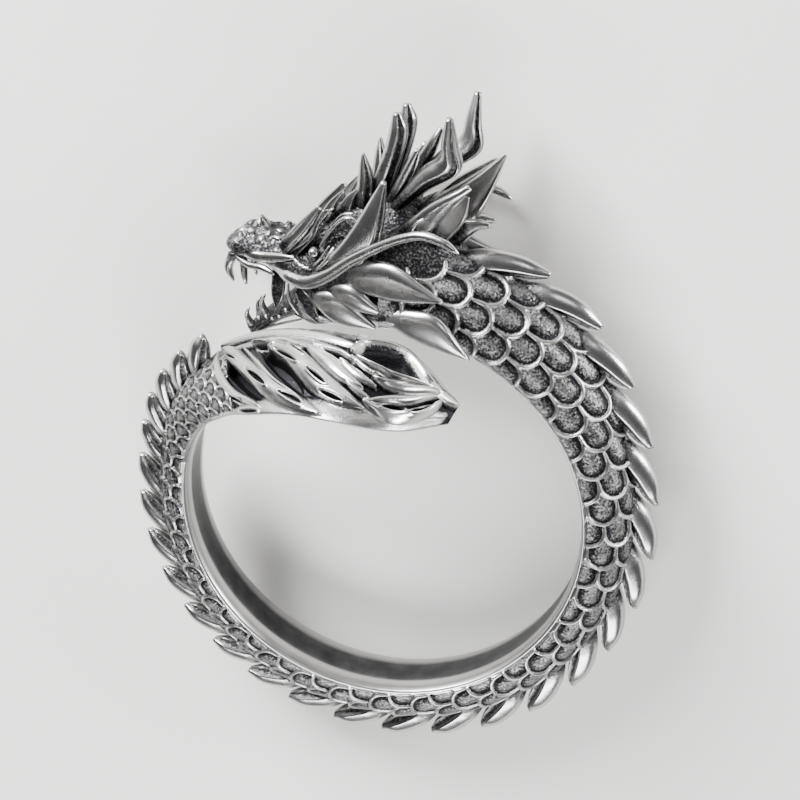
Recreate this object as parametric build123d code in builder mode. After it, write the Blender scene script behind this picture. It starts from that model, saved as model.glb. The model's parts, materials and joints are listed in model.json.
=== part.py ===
from build123d import *
import os
from math import cos, radians, sin

# Dragon ring: one open hoop, cast in silver, whose thick end is the dragon's head and whose thin end
# leaves the circle and lies beside the head as a pierced tuft. All lengths are in millimetres.
# It is drawn with the finger's axis along Z, the head at +Y and the tuft on the +Z side, and is
# laid on its side at the end.

# Hoop
bore_radius = 9.5
neck_height = 4.0
neck_width = 4.2
band_height = 2.3
band_width = 3.3
tail_height = 1.65
tail_width = 3.0
edge_bevel = 0.3
neck_angle = 66.0
band_sweep = 254.0

# Tuft
tail_sweep = 112.0
tuft_reach = 10.4
tuft_sink = 0.9
slot_depth = 0.9

# Scales and spines
scale_count = 22
tail_scale_count = 4
pitch_fade = 0.2
scale_thickness = 0.4
scale_tilt = 7.0
spine_height = 1.45
spine_thickness = 0.8
whisker_thickness = 0.34

# How it rests on its far side
rest_tilt = 4.7
rest_roll = 2.3

# Head
head_turn = 9.0
pivot_x = 4.5
pivot_y = 11.0
nape_x = 5.0
head_length = 13.0
head_height = 6.0
head_half = 2.5
eye_radius = 0.32
nose_radius = 0.36

# How neck, band and tail share the hoop: along the hoop, share of the neck and share of the tail
BAND = [
    # along, neck, tail
    (0.00, 1.00, 0.00),
    (0.055, 0.95, 0.00),
    (0.11, 0.62, 0.00),
    (0.165, 0.32, 0.00),
    (0.23, 0.10, 0.00),
    (0.30, 0.00, 0.00),
    (0.50, 0.00, 0.10),
    (0.75, 0.00, 0.50),
    (1.00, 0.00, 1.00),
]

# The tail from the hoop to its tip. Heights are shares of tail_height, sinks of tuft_sink and
# reaches of tuft_reach; the swells are shares of tail_height.
TAIL = [
    # along, ridge height, ridge reach, near sink, near reach, far sink, far reach, near swell, far swell
    (0.00, 1.00, 0.00, 0.00, 0.00, 0.00, 0.00, 0.21, 0.21),
    (0.107, 1.02, 0.09, 0.33, 0.12, 0.06, 0.09, 0.24, 0.20),
    (0.214, 1.00, 0.19, 0.61, 0.30, 0.11, 0.23, 0.28, 0.18),
    (0.304, 0.96, 0.28, 0.72, 0.50, 0.17, 0.36, 0.32, 0.15),
    (0.384, 0.92, 0.33, 0.72, 0.65, 0.22, 0.44, 0.38, 0.12),
    (0.482, 0.88, 0.385, 0.78, 0.80, 0.28, 0.51, 0.44, 0.10),
    (0.607, 0.80, 0.45, 0.83, 0.92, 0.33, 0.575, 0.50, 0.10),
    (0.732, 0.73, 0.51, 0.89, 1.00, 0.33, 0.63, 0.50, 0.10),
    (0.839, 0.66, 0.54, 1.00, 0.97, 0.33, 0.66, 0.42, 0.08),
    (0.911, 0.44, 0.60, 1.00, 0.87, 0.44, 0.71, 0.30, 0.06),
    (0.964, 0.19, 0.625, 0.89, 0.73, 0.55, 0.75, 0.15, 0.04),
    (1.00, 0.02, 0.62, 0.67, 0.64, 0.55, 0.74, 0.06, 0.02),
]

# Skull and upper jaw, and the lower jaw: along and up from the nape, and half width, as shares
SKULL = [
    # along, bottom, top, half width
    (0.00, -0.15, 0.73, 0.86),
    (0.15, -0.12, 0.90, 0.96),
    (0.35, -0.10, 0.96, 1.00),
    (0.50, -0.08, 0.92, 0.94),
    (0.615, -0.07, 0.78, 0.84),
    (0.71, 0.02, 0.61, 0.70),
    (0.755, 0.17, 0.54, 0.62),
    (0.85, 0.25, 0.52, 0.52),
    (0.94, 0.26, 0.50, 0.44),
    (0.99, 0.29, 0.44, 0.32),
    (1.01, 0.33, 0.40, 0.18),
]
LOWER_JAW = [
    # along, bottom, top, half width
    (0.64, -0.10, 0.24, 0.64),
    (0.72, -0.12, 0.13, 0.56),
    (0.80, -0.21, -0.03, 0.44),
    (0.875, -0.33, -0.17, 0.34),
    (0.94, -0.42, -0.30, 0.20),
]

# Horns, leaves, plates, whiskers and teeth of one side. Each runs root, bend, tip, as shares of
# head_length, head_height and head_half; width and thickness are in shares of head_half.
BLADES = {
    # name: (root, bend, tip, width, thickness)
    "brow_plate_front": ((0.74, 0.42, 0.36), (0.70, 0.65, 0.58), (0.627, 0.87, 0.60), 0.36, 0.20),
    "brow_plate_back": ((0.68, 0.44, 0.46), (0.63, 0.72, 0.76), (0.555, 0.90, 0.76), 0.34, 0.20),
    "eyebrow": ((0.61, 0.50, 0.60), (0.54, 0.79, 0.92), (0.46, 0.87, 0.90), 0.28, 0.22),
    "brow_blade": ((0.52, 0.46, 0.74), (0.425, 0.90, 1.02), (0.335, 1.27, 1.00), 0.66, 0.22),
    "cheek_leaf_top": ((0.48, 0.44, 0.84), (0.30, 0.44, 1.10), (0.092, 0.41, 1.28), 0.64, 0.24),
    "cheek_leaf_mid": ((0.56, 0.30, 0.84), (0.46, 0.19, 1.02), (0.335, 0.15, 1.08), 0.42, 0.22),
    "cheek_leaf_low": ((0.62, 0.24, 0.78), (0.54, 0.08, 0.94), (0.39, -0.01, 1.00), 0.40, 0.22),
    "cheek_leaf_front": ((0.68, 0.20, 0.64), (0.66, 0.06, 0.76), (0.61, -0.06, 0.78), 0.28, 0.20),
    "neck_fin": ((0.36, 0.13, 0.80), (0.18, 0.07, 0.98), (0.02, -0.09, 1.00), 0.56, 0.26),
    "neck_scale": ((0.19, 0.62, 0.60), (0.06, 0.69, 1.00), (-0.07, 0.66, 1.08), 0.48, 0.24),
    "crest_leaf_front": ((0.61, 0.74, 0.36), (0.585, 0.88, 0.44), (0.546, 1.03, 0.46), 0.32, 0.20),
    "crest_leaf_back": ((0.55, 0.82, 0.34), (0.53, 0.94, 0.40), (0.50, 1.07, 0.42), 0.30, 0.20),
    "horn_small": ((0.45, 0.90, 0.32), (0.455, 1.12, 0.37), (0.465, 1.35, 0.41), 0.36, 0.28),
    "horn_front": ((0.42, 0.92, 0.18), (0.375, 1.38, 0.22), (0.354, 1.70, 0.24), 0.46, 0.32),
    "horn_mid": ((0.34, 0.98, 0.44), (0.30, 1.24, 0.58), (0.254, 1.51, 0.70), 0.38, 0.24),
    "horn_root": ((0.31, 0.98, 0.44), (0.20, 1.18, 0.56), (0.11, 1.34, 0.66), 0.50, 0.34),
    "horn_tip": ((0.13, 1.28, 0.62), (0.125, 1.52, 0.78), (0.13, 1.83, 0.88), 0.46, 0.34),
    "mane_leaf_high": ((0.27, 0.90, 0.56), (0.14, 1.08, 0.62), (0.042, 1.225, 0.58), 0.52, 0.22),
    "mane_leaf_low": ((0.24, 0.76, 0.50), (0.11, 1.02, 0.96), (0.03, 1.22, 0.96), 0.46, 0.22),
    "mane_tip": ((0.13, 0.70, 0.40), (0.04, 0.88, 0.52), (-0.025, 0.95, 0.54), 0.28, 0.22),
    "fang_front": ((0.975, 0.36, 0.22), (1.00, 0.18, 0.29), (0.983, 0.07, 0.30), 0.15, 0.13),
    "fang_second": ((0.945, 0.34, 0.26), (0.945, 0.16, 0.36), (0.94, 0.06, 0.36), 0.13, 0.12),
    "fang_back": ((0.80, 0.25, 0.46), (0.80, 0.10, 0.49), (0.803, -0.04, 0.50), 0.22, 0.15),
    "lower_fang_front": ((0.92, -0.33, 0.16), (0.935, -0.22, 0.24), (0.93, -0.13, 0.28), 0.15, 0.13),
    "lower_fang_back": ((0.855, -0.19, 0.28), (0.87, -0.08, 0.31), (0.87, 0.00, 0.32), 0.14, 0.13),
}
CROWN_LEAF = ((0.25, 0.94, 0.00), (0.08, 1.18, 0.00), (-0.042, 1.43, 0.00), 0.70, 0.24)
SNOUT_PEAK = ((0.92, 0.46, 0.00), (0.915, 0.53, 0.00), (0.912, 0.575, 0.00), 0.32, 0.40)

# Whisker: along and up from the nape and out from the middle, as shares, with its thickness
WHISKER = [
    # along, up, out
    (0.80, 0.32, 0.56),
    (0.74, 0.295, 0.80),
    (0.673, 0.28, 0.92),
    (0.585, 0.35, 1.04),
    (0.478, 0.56, 1.16),
    (0.334, 0.78, 1.24),
    (0.215, 0.90, 1.28),
    (0.10, 0.91, 1.32),
    (0.03, 0.83, 1.32),
]

# Eye and nostril of one side: along and up from the nape and out from the middle, as shares
EYE = (0.635, 0.525, 0.64)
NOSTRIL = (0.985, 0.42, 0.22)

# Section of the skull and the jaws, from its bottom to its top: out and up, as shares
HEAD_SECTION = [
    # out, up
    (0.55, 0.00),
    (0.95, 0.28),
    (1.00, 0.55),
    (0.45, 1.00),
]

# Section sizes of a blade, a whisker and a bead from root to tip, as shares of their sizes
BLADE_SHAPE = ((0.55, 0.90), (1.00, 1.00), (0.10, 0.16))
WHISKER_SHAPE = ((0.50, 0.50), *[(1.00, 1.00)] * (len(WHISKER) - 2), (0.40, 0.40))
BEAD_SHAPE = ((-1.00, 0.80), (0.30, 1.00), (0.90, 0.45))

# Rows of scales on a flank, from its edge to the ridge, as shares of the flank's width; half the
# gap between rows; and a scale's outline, as shares of its pitch and of its row's width
SCALE_ROWS = (0.13, 0.36, 0.60, 0.83)
row_gap = 0.235
SCALE_OUTLINE = ((-0.42, 0), (0.05, -0.46), (0.35, -0.13), (0.35, 0.13), (0.05, 0.46))

# A spine's path: along in pitches and up in spine heights; and its length at the root in pitches
SPINE = [
    # along, up
    (0.10, -0.35),
    (0.75, 0.45),
    (1.35, 1.00),
]
spine_root = 0.6

# Points of a flank between its edge and the ridge, and the slope of the bevel inside its edge
FLANK_STEPS = (0.33, 0.67)
bevel_slope = 0.67

# Openings of the tuft: along the tail, across the flank from its near edge, length and width as
# shares of the tail's length and the flank's width, and slant in degrees
SLOTS = [
    # along, across, length, width, slant
    (0.435, 0.47, 0.085, 0.20, 52),
    (0.52, 0.60, 0.105, 0.22, 48),
    (0.83, 0.70, 0.120, 0.36, -14),
    (0.42, 0.80, 0.035, 0.07, 42),
    (0.478, 0.56, 0.050, 0.07, 46),
    (0.505, 0.36, 0.045, 0.07, 40),
    (0.56, 0.29, 0.045, 0.07, 30),
    (0.60, 0.66, 0.075, 0.08, 34),
    (0.61, 0.47, 0.055, 0.07, 44),
    (0.66, 0.33, 0.055, 0.07, 36),
    (0.69, 0.72, 0.080, 0.11, 26),
    (0.73, 0.50, 0.090, 0.08, 24),
    (0.79, 0.45, 0.060, 0.07, 14),
    (0.80, 0.28, 0.060, 0.06, 6),
    (0.87, 0.28, 0.045, 0.07, -22),
    (0.415, 0.14, 0.045, 0.06, 6),
]


def interpolate(table, along):
    """Row of a table at a share of its length, by straight lines between its rows."""
    for low, high in zip(table[:-1], table[1:]):
        if along <= high[0]:
            part = (along - low[0]) / (high[0] - low[0])
            return [a + (b - a) * part for a, b in zip(low, high)]
    return list(table[-1])


def hoop_plane(angle):
    """Plane across the hoop at an angle: X points away from the finger and Y along its axis."""
    out = Vector(cos(radians(angle)), sin(radians(angle)), 0)
    onward = Vector(sin(radians(angle)), -cos(radians(angle)), 0)
    return Plane(origin=out * bore_radius, x_dir=out, z_dir=onward)


def band_corners(along):
    """Near edge, ridge, far edge and the two swells of the hoop's section at a share of its length."""
    neck, tail = interpolate(BAND, along)[1:]
    height = band_height + neck * (neck_height - band_height) + tail * (tail_height - band_height)
    width = band_width + neck * (neck_width - band_width) + tail * (tail_width - band_width)
    near = Vector(edge_bevel, width / 2)
    far = Vector(edge_bevel, -width / 2)
    swell = TAIL[0][7] * height
    return near, Vector(height, 0), far, swell, swell


def tail_corners(along):
    """The same five values for the tail, which leaves the circle towards the near side."""
    row = interpolate(TAIL, along)
    ridge_height, ridge_reach, near_sink, near_reach, far_sink, far_reach, near_swell, far_swell = row[1:]
    half = tail_width / 2
    near = Vector(edge_bevel - near_sink * tuft_sink, half + near_reach * (tuft_reach - half))
    ridge = Vector(ridge_height * tail_height, ridge_reach * tuft_reach)
    far = Vector(edge_bevel - far_sink * tuft_sink, far_reach * tuft_reach - half)
    return near, ridge, far, near_swell * tail_height, far_swell * tail_height


def flank_point(corner, ridge, swell, share, side):
    """Point of a flank that swells like a parabola between its edge and the ridge, and its normal."""
    chord = ridge - corner
    square = Vector(chord.Y, -chord.X).normalized() * side
    point = corner + chord * share + square * (4 * swell * share * (1 - share))
    slope = chord + square * (4 * swell * (1 - 2 * share))
    return point, Vector(slope.Y, -slope.X).normalized() * side


def hoop_outline(corners, inset):
    """Closed outline of a section: inner wall with bevelled edges, two flanks and the ridge."""
    near, ridge, far, near_swell, far_swell = corners
    near_flank = [flank_point(near, ridge, near_swell, share, -1)[0] for share in FLANK_STEPS]
    far_flank = [flank_point(far, ridge, far_swell, share, 1)[0] for share in FLANK_STEPS]
    drop = edge_bevel + inset
    near_root = near - Vector(drop, drop * bevel_slope)
    far_root = far - Vector(drop, -drop * bevel_slope)
    outline = [near_root, near, *near_flank, ridge, *reversed(far_flank), far, far_root]
    return [(point.X, point.Y) for point in outline]


def body_place(turn):
    """Angle and section corners at a number of degrees clockwise from the neck."""
    if turn <= band_sweep:
        corners = band_corners(turn / band_sweep)
    else:
        corners = tail_corners((turn - band_sweep) / tail_sweep)
    return neck_angle - turn, corners


def section_loop(turn, inset):
    """Outline of the hoop or the tail, in its place, at a number of degrees from the neck."""
    angle, corners = body_place(turn)
    plane = hoop_plane(angle)
    return [plane.from_local_coords(Vector(*point)) for point in hoop_outline(corners, inset)]


def faceted_solid(loops):
    """Solid through a row of outlines, with two triangles between neighbouring corners."""
    faces = [Face(Wire.make_polygon(loop)) for loop in (loops[0], loops[-1])]
    for front, back in zip(loops[:-1], loops[1:]):
        corners = zip(front, front[1:] + front[:1], back[1:] + back[:1], back)
        for first, second, third, fourth in corners:
            faces.append(Face(Wire.make_polygon([first, second, third])))
            faces.append(Face(Wire.make_polygon([first, third, fourth])))
    return Solid(Shell(faces))


def pitch_turn(step):
    """Degrees from the neck to a scale: the pitch shrinks evenly towards the tail."""
    share = step / scale_count
    return band_sweep * share * (1 + pitch_fade - pitch_fade * share)


def head_place(along, up, out):
    """Point of the head from its shares of length, height and half width, out to the near side."""
    local_x = nape_x - pivot_x - along * head_length
    local_y = bore_radius - pivot_y + up * head_height
    turned = Vector(local_x, local_y, out * head_half).rotate(Axis.Y, -head_turn)
    return turned + Vector(pivot_x, pivot_y, 0)


def head_plane(along):
    """Plane across the head: X points out to the near side and Y up."""
    near_side = head_place(0, 0, 1) - head_place(0, 0, 0)
    forward = head_place(1, 0, 0) - head_place(0, 0, 0)
    return Plane(origin=head_place(along, 0, 0), x_dir=near_side, z_dir=forward)


def skull_outline(bottom, top, half):
    """Eight-sided section of the skull or jaw, narrow on top and widest at its middle."""
    low, tall = bottom * head_height, (top - bottom) * head_height
    right = [(out * half * head_half, low + up * tall) for out, up in HEAD_SECTION]
    left = [(-x, y) for x, y in reversed(right)]
    return right + left


def blade(path, side_way, width, thickness, shape):
    """Leaf-like solid along a path: rhombus sections, broad side facing the side way."""
    loops = []
    for index, (point, (wide, thick)) in enumerate(zip(path, shape)):
        onward = path[min(index + 1, len(path) - 1)] - path[max(index - 1, 0)]
        plane = Plane(origin=point, x_dir=side_way.cross(onward), z_dir=onward)
        broad = plane.x_dir * (width * wide / 2)
        flat = plane.y_dir * (thickness * thick / 2)
        loops.append([point + broad, point + flat, point - broad, point - flat])
    return faceted_solid(loops)


def bead(place, radius):
    """Low eight-sided dome on the near side of the head, with its root below the surface."""
    middle = head_place(*place)
    with BuildPart() as dome:
        for out, share in BEAD_SHAPE:
            with BuildSketch(Plane(origin=middle + near_side * out * radius, z_dir=near_side)):
                RegularPolygon(share * radius, 8)
        loft(ruled=True)
    return dome.part


def flank_frame(turn, share, side):
    """Point of a flank, its outward normal, the way to the tail and the flank's width."""
    angle, (near, ridge, far, near_swell, far_swell) = body_place(turn)
    corner, swell = (near, near_swell) if side > 0 else (far, far_swell)
    point, normal = flank_point(corner, ridge, swell, share, -side)
    plane = hoop_plane(angle)
    outward = plane.x_dir * normal.X + plane.y_dir * normal.Y
    return plane.from_local_coords(point), outward, plane.z_dir, (ridge - corner).length


def scale_plane(turn, share, side):
    """Plane of one scale: X runs to its free end, which stands proud of the next scale."""
    point, outward, onward, _ = flank_frame(turn, share, side)
    lift = radians(scale_tilt)
    free_way = onward * cos(lift) + outward * sin(lift)
    square = outward * cos(lift) - onward * sin(lift)
    return Plane(origin=point - square * (scale_thickness / 2), x_dir=free_way, z_dir=square)


def ridge_place(turn, height):
    """Point above the ridge at a number of degrees from the neck."""
    angle, corners = body_place(turn)
    ridge = corners[1]
    return hoop_plane(angle).from_local_coords(Vector(ridge.X + height, ridge.Y))


near_side = (head_place(0, 0, 1) - head_place(0, 0, 0)).normalized()
axis_way = Vector(0, 0, 1)
cut_length = 2 * tuft_reach
head_middle = Plane(origin=head_place(0, 0, 0), z_dir=near_side)

band_turns = [pitch_turn(step) for step in range(scale_count + 1)]
tail_turns = [band_sweep + along * tail_sweep for along, *_ in TAIL]

with BuildPart() as band:
    add(faceted_solid([section_loop(turn, edge_bevel) for turn in band_turns]))

with BuildPart() as skull:
    for along, bottom, top, half in SKULL:
        with BuildSketch(head_plane(along)):
            with BuildLine():
                Polyline(*skull_outline(bottom, top, half), close=True)
            make_face()
    loft(ruled=True)

with BuildPart() as lower_jaw:
    for along, bottom, top, half in LOWER_JAW:
        with BuildSketch(head_plane(along)):
            with BuildLine():
                Polyline(*skull_outline(bottom, top, half), close=True)
            make_face()
    loft(ruled=True)

with BuildPart() as tail:
    add(faceted_solid([section_loop(turn, 0) for turn in tail_turns]))
    for along, across, length, width, slant in SLOTS:
        point, outward, onward, flank_width = flank_frame(band_sweep + along * tail_sweep, across, 1)
        floor = Plane(origin=point - outward * slot_depth, x_dir=onward, z_dir=outward)
        with BuildSketch(floor):
            SlotOverall(
                length * radians(tail_sweep) * bore_radius,
                width * flank_width,
                rotation=slant,
            )
        extrude(amount=2 * slot_depth, mode=Mode.SUBTRACT)

with BuildPart() as hoop:
    add(band.part)
    add(skull.part)
    Cylinder(bore_radius, cut_length, mode=Mode.SUBTRACT)

scales = []
for step in range(scale_count + tail_scale_count):
    turn = pitch_turn(step)
    length = radians(pitch_turn(step + 0.5) - pitch_turn(step - 0.5)) * ridge_place(turn, 0).length
    width = 2 * row_gap * flank_frame(turn, 0.5, 1)[3]
    for row, share in enumerate(SCALE_ROWS):
        for side in (1, -1):
            with BuildPart() as scale:
                with BuildSketch(scale_plane(pitch_turn(step + 0.5 * (row % 2)), share, side)):
                    Polygon(*[(x * length, y * width) for x, y in SCALE_OUTLINE], align=None)
                extrude(amount=scale_thickness)
            scales.append(scale.part)

spines = []
for step in range(scale_count + tail_scale_count):
    turn, pitch = pitch_turn(step), pitch_turn(step + 1) - pitch_turn(step)
    path = [ridge_place(turn + along * pitch, up * spine_height) for along, up in SPINE]
    width = spine_root * radians(pitch) * bore_radius
    spines.append(blade(path, axis_way, width, spine_thickness, BLADE_SHAPE))

blades = []
for root, bend, tip, width, thickness in BLADES.values():
    path = [head_place(*place) for place in (root, bend, tip)]
    leaf = blade(path, near_side, width * head_half, thickness * head_half, BLADE_SHAPE)
    blades += [leaf, leaf.mirror(head_middle)]
whisker_path = [head_place(*place) for place in WHISKER]
whisker = blade(whisker_path, near_side, whisker_thickness, whisker_thickness, WHISKER_SHAPE)
blades += [whisker, whisker.mirror(head_middle)]
for root, bend, tip, width, thickness in (CROWN_LEAF, SNOUT_PEAK):
    path = [head_place(*place) for place in (root, bend, tip)]
    blades.append(blade(path, near_side, width * head_half, thickness * head_half, BLADE_SHAPE))
for place, radius in ((EYE, eye_radius), (NOSTRIL, nose_radius)):
    dome = bead(place, radius)
    blades += [dome, dome.mirror(head_middle)]

# The bore is cleared last, up to where the tail leaves the hoop on the near side
with BuildPart() as upright_ring:
    add(hoop.part)
    add(lower_jaw.part)
    add(tail.part)
    add([*scales, *spines, *blades], clean=False)
    with Locations((0, 0, neck_width / 2 + edge_bevel)):
        Cylinder(
            bore_radius,
            cut_length,
            align=(Align.CENTER, Align.CENTER, Align.MAX),
            mode=Mode.SUBTRACT,
        )

# The ring lies on its far side, on the whisker of that side and two scales of the band, so the
# finger's axis leans a little. The origin is under the middle of its box.
up_way = Vector(-sin(radians(rest_roll)), sin(radians(rest_tilt)), cos(radians(rest_tilt)))
head_way = up_way.cross(Vector(1, 0, 0))
resting_plane = Plane(origin=(0, 0, 0), x_dir=head_way.cross(up_way), z_dir=up_way)
lying = resting_plane.to_local_coords(upright_ring.part)
box = lying.bounding_box()
middle = box.center()

with BuildPart() as dragon_ring:
    with Locations((-middle.X, -middle.Y, -box.min.Z)):
        add(lying)
dragon_ring.part.label = "dragon_ring"

os.makedirs("parts", exist_ok=True)
export_step(dragon_ring.part, "parts/dragon_ring.step")
bore_centre = resting_plane.to_local_coords(Vector(0, 0, 0)) - Vector(middle.X, middle.Y, box.min.Z)
bore_way = resting_plane.to_local_coords(Vector(0, 0, 1))
print("bore centre", bore_centre, "axis", bore_way, "volume", dragon_ring.part.volume)
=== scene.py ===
import json
from math import cos, pi, radians, sin

import bpy
import numpy as np
from mathutils import Matrix, Vector


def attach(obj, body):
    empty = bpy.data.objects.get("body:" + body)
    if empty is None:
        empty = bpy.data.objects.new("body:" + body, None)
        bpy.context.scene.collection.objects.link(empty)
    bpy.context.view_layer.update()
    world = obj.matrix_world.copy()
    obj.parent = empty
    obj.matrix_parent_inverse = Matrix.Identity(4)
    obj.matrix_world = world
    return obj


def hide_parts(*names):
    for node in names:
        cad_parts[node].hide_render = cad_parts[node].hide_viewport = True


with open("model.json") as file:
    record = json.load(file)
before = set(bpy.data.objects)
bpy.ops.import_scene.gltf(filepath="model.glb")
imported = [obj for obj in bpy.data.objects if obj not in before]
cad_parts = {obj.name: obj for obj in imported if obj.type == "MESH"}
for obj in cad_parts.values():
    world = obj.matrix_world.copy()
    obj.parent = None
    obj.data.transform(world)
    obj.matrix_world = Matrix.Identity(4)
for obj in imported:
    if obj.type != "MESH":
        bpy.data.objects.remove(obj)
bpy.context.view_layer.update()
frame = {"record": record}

# Dragon ring of darkened silver. Every shape is worked out in millimetres in the ring's own frame,
# with the finger's axis along Z, the head at +Y and the tuft on the +Z side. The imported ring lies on
# its side, and its finger bore says where that frame sits.

# Hoop
BORE_RADIUS = 9.5
NECK_HEIGHT, NECK_WIDTH = 4.0, 4.2
BAND_HEIGHT, BAND_WIDTH = 2.3, 3.3
TAIL_HEIGHT, TAIL_WIDTH = 1.65, 3.0
EDGE_BEVEL = 0.3
NECK_ANGLE = 66.0
BAND_SWEEP = 254.0
TAIL_SWEEP = 112.0
TUFT_REACH = 10.4
TUFT_SINK = 0.9

# Scales and spines
SCALE_COUNT = 22
PITCH_FADE = 0.2
SKIN_START, SKIN_END = -24.0, 300.0
FIRST_SPINE = -0.6
SPINE_COUNT = 27
SPINE_HEIGHT = 1.45
SPINE_THICKNESS = 1.1

# Head
HEAD_TURN = 9.0
PIVOT = (4.5, 11.0)
NAPE_X = 5.0
HEAD_LENGTH, HEAD_HEIGHT, HEAD_HALF = 13.0, 6.0, 2.5

# Hoop: share of the neck and share of the tail at places along it
BAND = [
    # along, neck, tail
    (0.00, 1.00, 0.00),
    (0.055, 0.95, 0.00),
    (0.11, 0.62, 0.00),
    (0.165, 0.32, 0.00),
    (0.23, 0.10, 0.00),
    (0.30, 0.00, 0.00),
    (0.50, 0.00, 0.10),
    (0.75, 0.00, 0.50),
    (1.00, 0.00, 1.00),
]

# Tail: heights as shares of TAIL_HEIGHT, sinks of TUFT_SINK and reaches of TUFT_REACH
TAIL = [
    # along, ridge height, ridge reach, near sink, near reach, far sink, far reach, near swell, far swell
    (0.00, 1.00, 0.00, 0.00, 0.00, 0.00, 0.00, 0.21, 0.21),
    (0.107, 1.02, 0.09, 0.33, 0.12, 0.06, 0.09, 0.24, 0.20),
    (0.214, 1.00, 0.19, 0.61, 0.30, 0.11, 0.23, 0.28, 0.18),
    (0.304, 0.96, 0.28, 0.72, 0.50, 0.17, 0.36, 0.32, 0.15),
    (0.384, 0.92, 0.33, 0.72, 0.65, 0.22, 0.44, 0.38, 0.12),
    (0.482, 0.88, 0.385, 0.78, 0.80, 0.28, 0.51, 0.44, 0.10),
    (0.607, 0.80, 0.45, 0.83, 0.92, 0.33, 0.575, 0.50, 0.10),
    (0.732, 0.73, 0.51, 0.89, 1.00, 0.33, 0.63, 0.50, 0.10),
    (0.839, 0.66, 0.54, 1.00, 0.97, 0.33, 0.66, 0.42, 0.08),
    (0.911, 0.44, 0.60, 1.00, 0.87, 0.44, 0.71, 0.30, 0.06),
    (0.964, 0.19, 0.625, 0.89, 0.73, 0.55, 0.75, 0.15, 0.04),
    (1.00, 0.02, 0.62, 0.67, 0.64, 0.55, 0.74, 0.06, 0.02),
]

# Skull and lower jaw: along and up from the nape and half width, as shares of the head's sizes
SKULL = [
    # along, bottom, top, half width
    (0.05, 0.00, 0.35, 0.50),
    (0.15, -0.10, 0.62, 0.80),
    (0.25, -0.10, 0.80, 0.90),
    (0.35, -0.10, 0.92, 0.95),
    (0.50, -0.08, 0.88, 0.94),
    (0.615, -0.07, 0.75, 0.86),
    (0.71, 0.06, 0.60, 0.72),
    (0.755, 0.18, 0.54, 0.62),
    (0.85, 0.25, 0.51, 0.52),
    (0.94, 0.26, 0.49, 0.44),
    (0.99, 0.29, 0.44, 0.34),
    (1.01, 0.33, 0.40, 0.18),
]
LOWER_JAW = [
    # along, bottom, top, half width
    (0.62, -0.08, 0.26, 0.66),
    (0.72, -0.12, 0.13, 0.57),
    (0.80, -0.21, -0.03, 0.45),
    (0.875, -0.33, -0.17, 0.34),
    (0.93, -0.41, -0.29, 0.24),
    (0.945, -0.40, -0.33, 0.12),
]
HEAD_SECTION = [
    # out, up
    (0.00, 0.00),
    (0.55, 0.00),
    (0.95, 0.28),
    (1.00, 0.55),
    (0.45, 1.00),
    (0.00, 1.00),
]

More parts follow.
